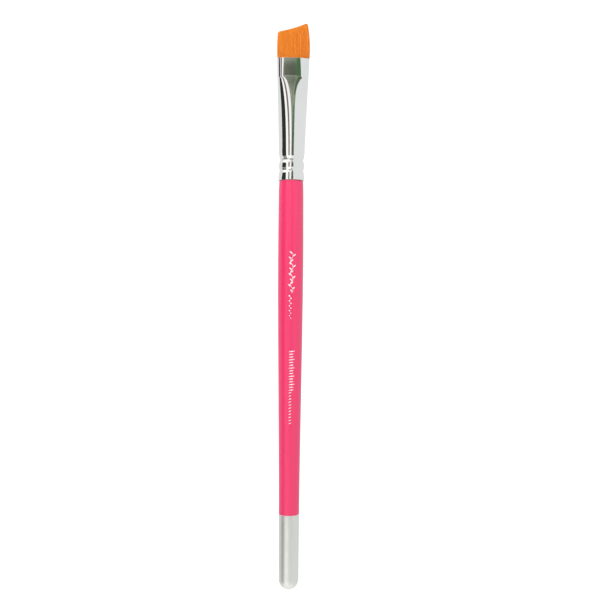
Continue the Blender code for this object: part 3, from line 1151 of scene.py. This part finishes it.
def make_world():
    """A white studio: plain white to the eye and to gloss, a little dimmer as light."""
    world = bpy.data.worlds.new("studio")
    bpy.context.scene.world = world
    world.use_nodes = True
    tree = world.node_tree
    sky = tree.nodes["Background"]
    sky.inputs["Color"].default_value = (1.0, 1.0, 1.0, 1.0)
    path = tree.nodes.new("ShaderNodeLightPath")
    strength = tree.nodes.new("ShaderNodeMapRange")
    strength.inputs["To Min"].default_value = WORLD_GLOSSY
    strength.inputs["To Max"].default_value = WORLD_DIFFUSE
    tree.links.new(path.outputs["Is Diffuse Ray"], strength.inputs["Value"])
    tree.links.new(strength.outputs["Result"], sky.inputs["Strength"])


def make_floor():
    """A plain white floor that runs out to a bright horizon."""
    bpy.ops.mesh.primitive_circle_add(vertices=96, radius=FLOOR_RADIUS, fill_type="NGON")
    floor = bpy.context.object
    floor.name = "floor"
    floor.location.z = TAIL - FLOOR_DROP
    made = Surface("floor_paper", (FLOOR_GREY,) * 3, 0.9)
    made.shader.inputs["Specular IOR Level"].default_value = 0.0
    made.shader.inputs["Emission Color"].default_value = (1.0, 1.0, 1.0, 1.0)
    made.shader.inputs["Emission Strength"].default_value = FLOOR_GLOW
    floor.data.materials.append(made.material)
    floor.visible_glossy = False
    floor.visible_diffuse = False


def make_card(name, start, end, low, high, material, distance=CARD_DISTANCE):
    """A studio card seen only in reflections: an upright arc about the brush.

    The corners of one card are rounded, because the ends of its reflections are.
    """
    steps = max(int(abs(end - start) / CARD_STEP), 4)
    middle, half = (low + high) / 2, (high - low) / 2
    verts = []
    for degrees in spread(start, end, steps + 1):
        angle = math.radians(degrees)
        x, y = distance * math.sin(angle), -distance * math.cos(angle)
        reach = 1.0
        if name == ROUNDED_CARD:
            across = abs(2 * (degrees - start) / (end - start) - 1)
            reach = (1 - across**CARD_CORNER_POWER) ** (1 / CARD_CORNER_POWER)
        verts += [(x, y, middle - half * reach), (x, y, middle + half * reach)]
    faces = [(2 * i, 2 * i + 2, 2 * i + 3, 2 * i + 1) for i in range(steps)]
    card = mesh_object(name, verts, faces, material)
    card.visible_camera = False
    card.visible_diffuse = False
    card.visible_shadow = False
    card.visible_transmission = False


def room_share(tree, source, low, high):
    """Where a source lies between low and high, from 0 to 1."""
    share = tree.nodes.new("ShaderNodeMapRange")
    share.inputs["From Min"].default_value = low
    share.inputs["From Max"].default_value = high
    tree.links.new(source, share.inputs["Value"])
    return share.outputs["Result"]


def room_clutter(tree, place):
    """Patches of light and shade, wider than tall, for what stands about in the room."""
    squat = tree.nodes.new("ShaderNodeMapping")
    squat.inputs["Scale"].default_value = CLUTTER_STRETCH
    clutter = tree.nodes.new("ShaderNodeTexNoise")
    clutter.inputs["Scale"].default_value = CLUTTER_SCALE
    clutter.inputs["Detail"].default_value = CLUTTER_DETAIL
    tree.links.new(place, squat.inputs["Vector"])
    tree.links.new(squat.outputs["Vector"], clutter.inputs["Vector"])
    return colour_ramp(tree, clutter.outputs["Fac"], CLUTTER_SHADES)


def room_material():
    """The dim room behind the camera: darkest low down, bright at the top, uneven from side to side."""
    material = emission_material("room", (0.1, 0.1, 0.1))
    tree = material.node_tree
    place = tree.nodes.new("ShaderNodeTexCoord").outputs["Object"]
    parts = tree.nodes.new("ShaderNodeSeparateXYZ")
    tree.links.new(place, parts.inputs["Vector"])
    left, right = (ROOM_DISTANCE * math.sin(math.radians(side)) for side in (ROOM_FROM, ROOM_TO))
    upward = room_share(tree, parts.outputs["Z"], 0.0, 1.0)
    sideways = room_share(tree, parts.outputs["X"], left, right)
    walls = colour_product(
        tree,
        colour_ramp(tree, upward, ROOM_BY_HEIGHT),
        colour_ramp(tree, sideways, ROOM_FROM_LEFT),
    )
    light = colour_product(tree, walls, room_clutter(tree, place))
    tree.links.new(light, tree.nodes["Emission"].inputs["Color"])
    return material


def make_cards():
    """The tent round the brush, and the dim room that shows through its gap behind the camera."""
    for name, start, end, low, high, colour in CARDS:
        make_card(name, start, end, low, high, emission_material(name, colour))
    room, low_gap = room_material(), emission_material("low", LOW_GAP_COLOUR)
    make_card("room", ROOM_FROM, ROOM_TO, ROOM_LOW, ROOM_HIGH, room, ROOM_DISTANCE)
    make_card("low_gap", ROOM_FROM, ROOM_TO, LOW_GAP_FOOT, ROOM_LOW, low_gap)


def make_key_light():
    """One large soft light, in front, a little left and high, so that it fades towards the tail."""
    data = bpy.data.lights.new("key", "AREA")
    data.shape = "DISK"
    data.size = KEY_SIZE
    data.energy = KEY_POWER
    key = bpy.data.objects.new("key", data)
    key.location = KEY_PLACE
    key.rotation_euler = (KEY_TARGET - KEY_PLACE).to_track_quat("-Z", "Y").to_euler()
    key.visible_glossy = False
    key.visible_camera = False
    bpy.context.scene.collection.objects.link(key)


def make_camera():
    """Level with the brush's middle, in front of it, turned a touch about its own line of sight."""
    data = bpy.data.cameras.new("camera")
    data.lens = CAMERA_LENS
    data.sensor_width = CAMERA_SENSOR
    data.clip_start, data.clip_end = CAMERA_CLIP
    camera = bpy.data.objects.new("camera", data)
    bpy.context.scene.collection.objects.link(camera)
    upright = Matrix.Rotation(math.pi / 2, 4, "X")
    roll = Matrix.Rotation(-CAMERA_ROLL, 4, "Y")
    place = Matrix.Translation((CAMERA_RIGHT, -CAMERA_DISTANCE, BRUSH_MIDDLE))
    camera.matrix_world = place @ roll @ upright
    bpy.context.scene.camera = camera


def main():
    bpy.context.scene.view_settings.view_transform = "Standard"
    make_camera()
    make_world()
    make_floor()
    make_cards()
    make_key_light()
    make_pink_lacquer()
    make_silver_dip()
    make_print()
    make_ferrule()
    make_tuft()
    make_filament_bed()
    make_resin_cup()
    dress_hidden_nodes()


main()
